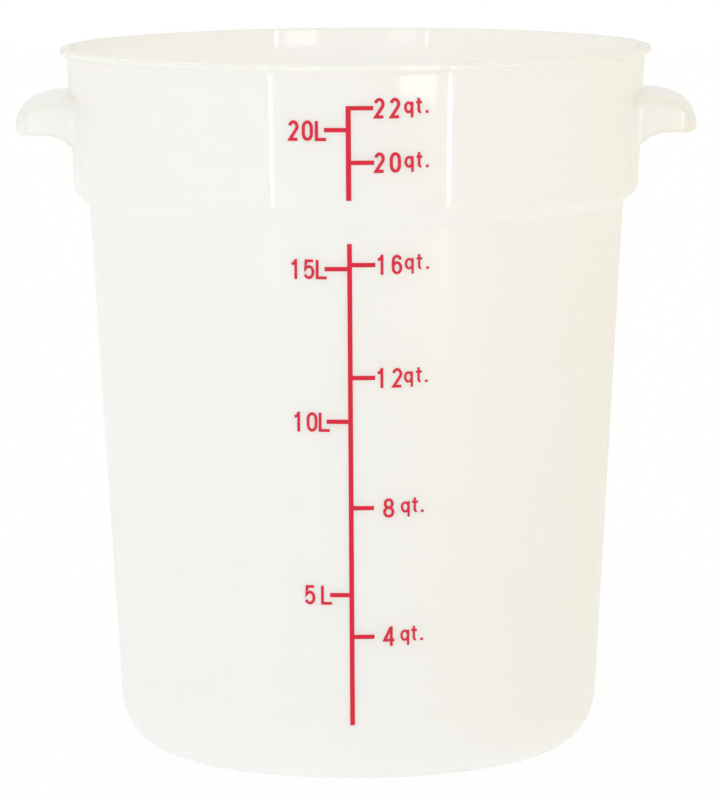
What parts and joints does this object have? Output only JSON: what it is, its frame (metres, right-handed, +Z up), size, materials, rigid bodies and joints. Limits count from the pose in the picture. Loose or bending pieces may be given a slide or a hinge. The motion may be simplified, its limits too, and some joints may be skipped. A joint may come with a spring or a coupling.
{
  "type": "dough proofing container",
  "caption": "Round translucent dough proofing tub with a flared lip, wide collar, tapered body, two hollow lug handles and a printed fill scale.",
  "frame": {"origin": "middle of the foot, on the plane the tub stands on", "axes": "+Z up along the tub's axis, the handles along +X and -X, the printed scale on -Y"},
  "size_m": [0.3676, 0.3188, 0.3826],
  "materials": {
    "natural_polypropylene": "satin, translucent",
    "red_screen_ink": "satin"
  },
  "bodies": {
    "root": {"tub": "natural_polypropylene", "left_handle": "natural_polypropylene", "right_handle": "natural_polypropylene", "upper_scale_print": "red_screen_ink", "lower_scale_print": "red_screen_ink"}
  },
  "joints": []
}
